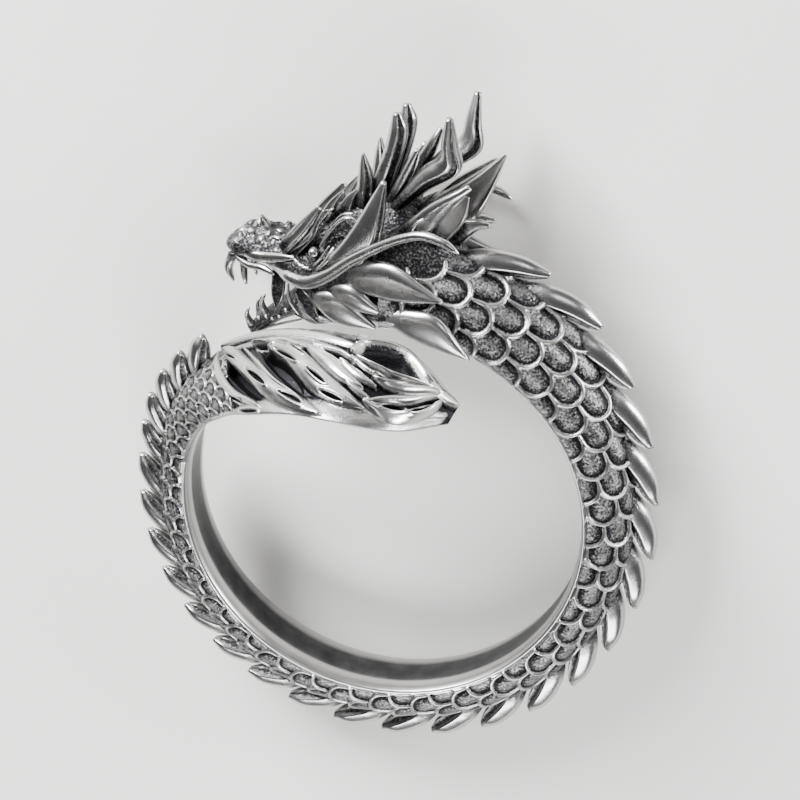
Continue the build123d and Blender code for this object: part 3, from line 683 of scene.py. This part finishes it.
def rib_field(place, points, widths):
    """Share of a rib's height: one less the square of the distance from its middle line over its width,
    which shrinks to both ends by a fourth power."""
    t = np.linspace(0, 1, RIB_POINTS)
    line = through(points, t)
    middle = unrolled(BAND_SWEEP + line[:, 0] * TAIL_SWEEP, line[:, 1])
    wide = through(widths, t)[:, 0] * np.sqrt(1.01 - np.abs(2 * t - 1) ** 4)
    best = np.zeros(place.shape[:-1])
    for start, end, low, high in zip(middle[:-1], middle[1:], wide[:-1], wide[1:]):
        way = end - start
        along = np.clip((place - start) @ way / (way @ way), 0, 1)
        offset = place - start - along[..., None] * way
        width = low + (high - low) * along
        best = np.maximum(best, 1 - (offset**2).sum(axis=-1) / width**2)
    return best


def tuft_relief(along, share, ribs, gaps, slits):
    """Height and polish of a flank of the tuft: round ribs over a dark floor, with gaps and slits. The
    surface is the soft maximum of all: the logarithm of the summed exponentials of their heights."""
    place = unrolled(BAND_SWEEP + along * TAIL_SWEEP, share)
    floor = np.full(along.shape, -FLOOR_DEPTH)
    for row in gaps:
        below_ridge = smoothstep(0.02, 0.16, 1 - share)
        deeper = row[5] - FLOOR_DEPTH
        floor = floor - deeper * below_ridge * smoothstep(-0.10, 0.16, inside_lens(place, row))
    soft = np.exp(floor / RIB_BLEND)
    polish = np.full(along.shape, FLOOR_POLISH)
    for points, widths, tall in ribs:
        round_top = np.sqrt(rib_field(place, points, RIB_SWELL * np.array(widths)))
        rib = floor + (tall - floor) * round_top
        soft = soft + np.where(round_top > 0, np.exp(rib / RIB_BLEND), 0)
        bright = FLAT_POLISH if tall < LOW_RIB else ROUND_POLISH
        polish = np.maximum(polish, bright * smoothstep(0.30, 0.95, round_top))
    height = RIB_BLEND * np.log(soft)
    for row in slits:
        inside = inside_lens(place, row)
        lip = SLIT_LIP * bell(inside + SLIT_LIP, SLIT_LIP)
        height = height + lip - row[5] * smoothstep(-0.02, 0.10, inside)
        rim = 0.9 * bell(inside + 0.07, SLIT_LIP)
        polish = np.maximum(polish, rim) * (1 - smoothstep(-0.02, 0.05, inside))
    return height, polish


def tuft():
    """Tuft of the tail: two flanks with their relief and its inner wall. Its root is rounded off by a
    quarter of a circle, and its near edge has a raised lip."""
    along = np.linspace(TUFT_START, 1, TUFT_ALONG)
    turns = BAND_SWEEP + along * TAIL_SWEEP
    start = np.clip((along - TUFT_START) / 0.012, 0, 1)
    root = np.sqrt(1 - (1 - start) ** 2)[:, None]
    proud = TUFT_PROUD * root - TUFT_ROOT_SINK * (1 - root)
    sheets = []
    for side, shares, ribs, gaps, slits in (
        (1, np.linspace(0, 1, NEAR_ACROSS), NEAR_RIBS, GAPS, SLITS),
        (-1, np.linspace(0.98, 0, FAR_ACROSS), FAR_RIBS, [], []),
    ):
        turn, share = np.broadcast_arrays(turns[:, None], shares[None, :])
        height, polish = tuft_relief(np.broadcast_to(along[:, None], turn.shape), share, ribs, gaps, slits)
        sheets.append((flank(turn, share, side, height * root + proud), polish, share))
    between_edges = slice(1, len(WALL) - 1)
    # The wall's polish carries painted shade across its middle
    wall, wall_polish_and_shade = (values[:, between_edges] for values in inner_wall(turns))
    across = np.array(WALL)[between_edges, 0]
    lip = TUFT_LIP * smoothstep(0, 0.10, along - TUFT_START)[:, None]
    near_way = np.array([0, 0, 1.0])
    near = sheets[0][0] + (lip * (1 - smoothstep(0, 0.13, sheets[0][2])))[..., None] * near_way
    wall = wall + (lip * smoothstep(0.80, 1, across))[..., None] * near_way
    casting = Casting()
    rings = np.concatenate([near, sheets[1][0], wall], axis=1)
    shade = np.concatenate([sheets[0][1], sheets[1][1], wall_polish_and_shade], axis=1)
    casting.add(rings[None], shade[None])
    return casting


# Leaves: thickness from root to tip, place and width of a sunk face's border, and width of a crest
LEAF_DEPTH = [(0.90,), (1.05,), (0.95,), (0.75,), (0.30,)]
BORDER_PLACE = 0.86
BORDER_WIDTH = 0.11
BORDER_RISE = 0.9
CREST_WIDTH = 0.16


def leaf_section(x, kind):
    """Height and polish across a leaf: arcs of a circle from its crest to both edges. A sunk face is
    lowered by its share next to the crest and keeps a raised border."""
    crest, fore_sink, aft_sink, sharp, raised, sunk = KINDS[kind]
    from_crest = np.where(x > crest, (x - crest) / (1 - crest), (crest - x) / (1 + crest))
    sink = np.where(x > crest, fore_sink, aft_sink)
    lowered = sink * np.where(sharp > 0, smoothstep(0.02, 0.26, from_crest), 1)
    border = bell(from_crest - BORDER_PLACE, BORDER_WIDTH) * (sink > 0)
    arc = np.sqrt(np.clip(1 - from_crest**2, 0, 1))
    tall = arc * (1 - lowered) + BORDER_RISE * sink * border * (1 - from_crest**8)
    polish = raised + (sunk - raised) * (lowered > 0.3)
    return tall, np.maximum(polish, np.maximum(border, sharp * bell(from_crest, CREST_WIDTH)))


def leaf_rings(fore, aft, thickness, kind, around=48):
    """Closed rings of a leaf between its two edges, with its section on both of its faces."""
    angle = np.linspace(0, 2 * pi, around, endpoint=False) + pi / around
    x = np.cos(angle)
    tall, polish = leaf_section(x, kind)
    middle, half = (fore + aft) / 2, (fore - aft) / 2
    square = unit(np.cross(np.gradient(middle, axis=-2), half))
    thick = through(LEAF_DEPTH, np.linspace(0, 1, fore.shape[-2]))[:, 0] * thickness / 2
    rings = middle[..., None, :] + half[..., None, :] * x[:, None]
    rings = rings + square[..., None, :] * (thick[:, None] * tall * np.sign(np.sin(angle)))[..., None]
    root = 0.25 + 0.75 * smoothstep(0.05, 0.35, np.linspace(0, 1, fore.shape[-2]))
    return rings, root[:, None] * polish


# Points along the head's leaves and raised lines, and how far its pieces keep from the bore's wall
LEAF_POINTS = 44
CORD_POINTS = 48
LEAF_CLEARANCE = 0.02
SKULL_CLEARANCE = 0.05


def leaves(rows, sides):
    """Casting of leaves in the head: each edge is a smooth curve through its places."""
    casting = Casting()
    t = np.linspace(0, 1, LEAF_POINTS)
    for fore, aft, outs, thickness, kind in rows:
        out = through([(value,) for value in outs], t)[:, 0]
        for side in sides:
            fore_edge, aft_edge = (head(*through(edge, t).T, side * out) for edge in (fore, aft))
            rings, polish = leaf_rings(fore_edge, aft_edge, thickness * HEAD_HALF, kind)
            casting.add(outside_bore(rings, LEAF_CLEARANCE)[None], polish[None])
    return casting


def cord_rings(path, half_width, half_height, around=16):
    """Tube along a path, an ellipse across: half width up the head and half height out of it. Both
    shrink to the ends as the root of one less the cube of the share from the middle."""
    angle = np.linspace(0, 2 * pi, around, endpoint=False)
    across = unit(np.cross(near_side, np.gradient(path, axis=0)))
    ends = np.sqrt(np.clip(1 - np.abs(np.linspace(-1, 1, len(path))) ** 3, 0.02, 1))[:, None]
    wide = across[:, None] * (np.cos(angle) * ends * np.reshape(half_width, (-1, 1)))[..., None]
    tall = near_side * (np.sin(angle) * ends * np.reshape(half_height, (-1, 1)))[..., None]
    return path[:, None] + wide + tall


def cords(rows):
    """Casting of the raised lines of both sides of the head."""
    casting = Casting()
    for places, half_width, half_height in rows:
        for side in (1, -1):
            along, up, out = through(places, np.linspace(0, 1, CORD_POINTS)).T
            rings = cord_rings(head(along, up, side * out), half_width, half_height)
            casting.add(rings[None], np.array(1.0))
    return casting


BEAD_ROUND, BEAD_RINGS = 18, 12
BEAD_POLE = 0.12


def beads(rows):
    """Casting of small balls on both sides of the head, in rings from pole to pole."""
    along, up, out, radius = np.array(rows).T
    centre = np.concatenate([head(along, up, out), head(along, up, -out)])
    radius = np.concatenate([radius, radius])[:, None, None, None]
    polar = np.linspace(BEAD_POLE, pi - BEAD_POLE, BEAD_RINGS)[:, None]
    angle = np.linspace(0, 2 * pi, BEAD_ROUND, endpoint=False)[None, :]
    parts = np.broadcast_arrays(np.sin(polar) * np.cos(angle), np.sin(polar) * np.sin(angle), np.cos(polar))
    casting = Casting()
    casting.add(centre[:, None, None] + radius * np.stack(parts, axis=-1), np.array(1.0))
    return casting


def head_loft(rows, lengthwise, around):
    """Skull or jaw: sections from the table, each the head's own outline drawn by cubics."""
    start, end = rows[0][0], rows[-1][0]
    along = start + (end - start) * (1 - np.cos(np.linspace(0, pi, lengthwise))) / 2
    bottom, top, half = np.moveaxis(follow(rows, along), -1, 0)[..., None]
    corner = np.linspace(0, 1, len(HEAD_SECTION))
    outline = follow(np.column_stack([corner, np.array(HEAD_SECTION)]), np.linspace(0, 1, around))
    out = np.concatenate([outline[:, 0], -outline[-2:0:-1, 0]])
    up = np.concatenate([outline[:, 1], outline[-2:0:-1, 1]])
    return head(along[:, None], bottom + (top - bottom) * up, half * out)


KNOB_SWELL = 0.62


def knobbed(rings, rows):
    """Rings swollen squarely at each knob by its radius times a bell of the distance from the knob's
    middle, and how polished the swellings are."""
    around = np.roll(rings, -1, axis=1) - np.roll(rings, 1, axis=1)
    square = np.cross(around, np.gradient(rings, axis=0))
    square = square / np.maximum(np.linalg.norm(square, axis=-1, keepdims=True), 1e-9)
    outward = np.sign((square * (rings - rings.mean(axis=1, keepdims=True))).sum())
    swell = np.zeros(rings.shape[:2])
    polish = np.zeros(rings.shape[:2])
    for along, up, out, radius in rows:
        for side in (1, -1):
            near_knob = bell(np.linalg.norm(rings - head(along, up, side * out), axis=-1), radius)
            swell = swell + KNOB_SWELL * radius * near_knob
            polish = np.maximum(polish, near_knob)
    return rings + outward * square * swell[..., None], polish


# A spine's two edges: places along in pitches and up in spine heights
SPINE_OUTER = [(-0.15, -0.10), (0.28, 0.46), (0.76, 0.79), (1.17, 0.81)]
SPINE_INNER = [(0.42, -0.34), (0.74, -0.06), (1.01, 0.24), (1.16, 0.55)]
SPINE_POINTS, SPINE_ROUND = 30, 40


def spines():
    """Row of thorns on the ridge, each a leaf between two edges that lean with the pitch."""
    casting = Casting()
    t = np.linspace(0, 1, SPINE_POINTS)
    for step in FIRST_SPINE + np.arange(SPINE_COUNT):
        edges = []
        for edge in (SPINE_OUTER, SPINE_INNER):
            lean, rise = through(edge, t).T
            turn = turn_at(step) + lean * (turn_at(step + 1) - turn_at(step))
            ridge = section(turn)[1]
            edges.append(round_hoop(turn, ridge[:, 0] + rise * SPINE_HEIGHT, ridge[:, 1]))
        rings, polish = leaf_rings(*edges, SPINE_THICKNESS, "spine", SPINE_ROUND)
        casting.add(rings[None], polish[None])
    return casting


class Value:
    """A number on its way through a material's nodes. Arithmetic on it adds Math nodes."""

    def __init__(self, nodes, socket):
        self.nodes, self.socket = nodes, socket

    def math(self, operation, first, second):
        """One operation on two numbers or values."""
        made = self.nodes.make("ShaderNodeMath", {"operation": operation}, {0: first, 1: second})
        return Value(self.nodes, made.outputs[0])

    def __add__(self, other):
        return self.math("ADD", self, other)

    def __radd__(self, other):
        return self.math("ADD", other, self)

    def __sub__(self, other):
        return self.math("SUBTRACT", self, other)

    def __rsub__(self, other):
        return self.math("SUBTRACT", other, self)

    def __mul__(self, other):
        return self.math("MULTIPLY", self, other)

    def __rmul__(self, other):
        return self.math("MULTIPLY", other, self)


class Nodes:
    """The node tree of one material."""

    def __init__(self, name):
        self.material = bpy.data.materials.new(name)
        self.material.use_nodes = True
        self.tree = self.material.node_tree
        self.shader = self.tree.nodes["Principled BSDF"]

    def make(self, kind, settings, inputs):
        """A node of any kind: its settings first, then the values or links of its sockets."""
        made = self.tree.nodes.new(kind)
        for key, value in settings.items():
            setattr(made, key, value)
        self.fill(made, inputs)
        return made

    def fill(self, node, inputs):
        """Sets a node's sockets, by name or number, to values or to links."""
        for key, value in inputs.items():
            socket = value.socket if isinstance(value, Value) else value
            if isinstance(socket, bpy.types.NodeSocket):
                self.tree.links.new(socket, node.inputs[key])
            else:
                node.inputs[key].default_value = value

    def value(self, kind, settings, inputs, output=0):
        """One output of a new node, as a value."""
        return Value(self, self.make(kind, settings, inputs).outputs[output])

    def ramp(self, source, low, high):
        """Value that rises from 0 to 1 as the source goes from low to high, eased at both ends."""
        settings = {"interpolation_type": "SMOOTHSTEP"}
        return self.value("ShaderNodeMapRange", settings, {0: source, 1: low, 2: high, 3: 0.0, 4: 1.0})


OXIDE = (0.016, 0.016, 0.018, 1)
SILVER = (0.45, 0.445, 0.44, 1)
BLOTCHES_PER_METRE = 1100.0
GRAINS_PER_METRE = 9000.0
GRAIN_DEPTH = 0.00006
OXIDE_ROUGHNESS = 0.48


def darkened_silver(name, stipple, gloss):
    """Cast silver, black in its recesses: the polish attribute, broken up by noise, clears the black. On the
    inner wall it also paints shade, and on the scales' domes a highlight.
    """
    nodes = Nodes(name)
    place = nodes.value("ShaderNodeTexCoord", {}, {}, "Object")
    polish = nodes.value("ShaderNodeAttribute", {"attribute_name": "polish"}, {}, "Fac")
    blotches = {"Vector": place, "Scale": BLOTCHES_PER_METRE, "Detail": 3.0}
    broad = nodes.value("ShaderNodeTexNoise", {}, blotches, "Fac")
    fine = {"Vector": place, "Scale": GRAINS_PER_METRE, "Detail": 2.0}
    grains = nodes.value("ShaderNodeTexNoise", {}, fine, "Fac")
    raw = 1.0 - nodes.ramp(polish, 0.35, 0.80)
    wear_and_painted_light = polish + (broad - 0.5) * 0.22 + (grains - 0.5) * raw * (1.1 * stipple)
    clear = nodes.ramp(wear_and_painted_light, 0.08, 0.92)
    colour = nodes.make("ShaderNodeMix", {"data_type": "RGBA"}, {0: clear, 6: OXIDE, 7: SILVER})
    relief = grains * raw * stipple + broad * 0.20
    bump = nodes.make("ShaderNodeBump", {}, {"Strength": 0.9, "Distance": GRAIN_DEPTH, "Height": relief})
    nodes.fill(nodes.shader, {
        "Base Color": colour.outputs[2],
        "Metallic": 1.0,
        "Roughness": OXIDE_ROUGHNESS - clear * (OXIDE_ROUGHNESS - gloss) + (broad - 0.5) * 0.10,
        "Normal": bump.outputs[0],
    })
    return nodes.material


skin_silver = darkened_silver("skin_silver", 1.0, 0.28)
leaf_silver = darkened_silver("leaf_silver", 0.7, 0.26)
wall_silver = darkened_silver("wall_silver", 0.0, 0.30)

# Body
for side, name in ((1, "scales_near"), (-1, "scales_far")):
    scaled_flank(side).piece(name, skin_silver)
# Inner wall, its middle darkened by painted shade carried in its polish
WALL_POINTS = 620
wall = Casting()
wall_rings, wall_polish_and_shade = inner_wall(np.linspace(SKIN_START, SKIN_END, WALL_POINTS))
wall.add(wall_rings[None], wall_polish_and_shade[None])
wall.piece("inner_wall", wall_silver)
tuft().piece("tuft", leaf_silver)
spines().piece("spines", leaf_silver)

# Head, with its polish before the knobs add theirs
SKULL_POLISH = 0.18
KNOB_POLISH = 0.42
JAW_POLISH = 0.15
skull = Casting()
skull_rings, on_knob = knobbed(head_loft(SKULL, 240, 100), KNOBS)
skull_rings = outside_bore(skull_rings, SKULL_CLEARANCE)
skull.add(skull_rings[None], SKULL_POLISH + KNOB_POLISH * on_knob[None] ** 3)
skull.add(head_loft(LOWER_JAW, 60, 50)[None], np.array(JAW_POLISH))
skull.piece("skull_and_jaw", skin_silver)
for name, rows in LEAVES.items():
    leaves(rows, (1, -1)).piece(name, leaf_silver)
leaves(MIDDLE_LEAVES, (1,)).piece("crown_leaf", leaf_silver)
cords(CORDS).piece("lips_and_lids", leaf_silver)
beads(BEADS).piece("eyes_and_nose", leaf_silver)

WHISKER_POINTS, WHISKER_ROUND = 120, 24
WHISKER_FLATNESS = 0.9
whisker = Casting()
along, up, out, width = through(WHISKER, np.linspace(0, 1, WHISKER_POINTS)).T
for side in (1, -1):
    path = head(along, up, side * out)
    whisker.add(cord_rings(path, width, width * WHISKER_FLATNESS, WHISKER_ROUND)[None], np.array(1.0))
whisker.piece("whiskers", leaf_silver)

# Floor, in metres
FLOOR_REACH = 1.5
floor_mesh = bpy.data.meshes.new("floor")
floor_corners = [(x * FLOOR_REACH, y * FLOOR_REACH, 0) for x, y in ((-1, -1), (1, -1), (1, 1), (-1, 1))]
floor_mesh.from_pydata(floor_corners, [], [(0, 1, 2, 3)])
floor = bpy.data.objects.new("floor", floor_mesh)
bpy.context.scene.collection.objects.link(floor)
floor_nodes = Nodes("pale_floor")
floor_nodes.fill(floor_nodes.shader, {"Base Color": (0.80, 0.79, 0.77, 1), "Roughness": 0.7})
floor_mesh.materials.append(floor_nodes.material)

# Camera: the photograph's direction, up and distance in the ring's frame, and its focal length
VIEW_WAY = unit(np.array([0.209, 0.4555, 0.8652]))
VIEW_RIGHT = np.array([0.972, 0.0, -0.2351])
VIEW_UP = np.cross(VIEW_WAY, VIEW_RIGHT)
VIEW_DISTANCE = 220.0
VIEW_CENTRE = 0.53 * VIEW_RIGHT + 4.56 * VIEW_UP
FOCAL_PIXELS = 4628.8
PICTURE_SIDE = 800
FILM_WIDTH = 36.0
CLOSEST_SEEN = 0.01


def aim(made, place, target, up):
    """Puts a lamp or camera at a place of the ring's frame, looking at a target there."""
    ways = np.stack([place, target, place + up])
    spot, goal, above = to_row(ways)
    back = unit(spot - goal)
    across = unit(np.cross(above - spot, back))
    turned = np.column_stack([across, np.cross(back, across), back])
    made.matrix_world = Matrix.Translation(Vector(spot)) @ Matrix(turned.tolist()).to_4x4()


camera_data = bpy.data.cameras.new("camera")
camera_data.sensor_width = FILM_WIDTH
camera_data.lens = FOCAL_PIXELS * FILM_WIDTH / PICTURE_SIDE
camera_data.clip_start = CLOSEST_SEEN
camera = bpy.data.objects.new("camera", camera_data)
bpy.context.scene.collection.objects.link(camera)
aim(camera, VIEW_WAY * VIEW_DISTANCE, VIEW_CENTRE, VIEW_UP)
bpy.context.scene.camera = camera

# Lamps, placed by the photograph's own right, up and towards the camera, in millimetres and watts
LAMPS = [
    # name, right, up, towards, width, height, power
    ("key_lamp", -130, 130, 110, 120, 80, 2.0),
    ("side_lamp", 170, 30, 60, 40, 180, 1.1),
    ("low_lamp", -20, -180, 60, 220, 50, 0.7),
    ("back_lamp", 30, 200, -20, 240, 60, 1.6),
    ("front_lamp", 20, 40, 230, 60, 60, 0.06),
]
for name, right, up, towards, width, height, power in LAMPS:
    lamp_data = bpy.data.lights.new(name, "AREA")
    lamp_data.shape = "RECTANGLE"
    lamp_data.size = width * MILLIMETRE
    lamp_data.size_y = height * MILLIMETRE
    lamp_data.energy = power
    lamp = bpy.data.objects.new(name, lamp_data)
    bpy.context.scene.collection.objects.link(lamp)
    aim(lamp, VIEW_RIGHT * right + VIEW_UP * up + VIEW_WAY * towards, np.zeros(3), VIEW_WAY)

# Studio around the ring
STUDIO_COLOUR = (0.20, 0.205, 0.215, 1)
STUDIO_STRENGTH = 0.4
world = bpy.data.worlds.new("studio")
world.use_nodes = True
studio = world.node_tree.nodes["Background"]
studio.inputs["Color"].default_value = STUDIO_COLOUR
studio.inputs["Strength"].default_value = STUDIO_STRENGTH
bpy.context.scene.world = world
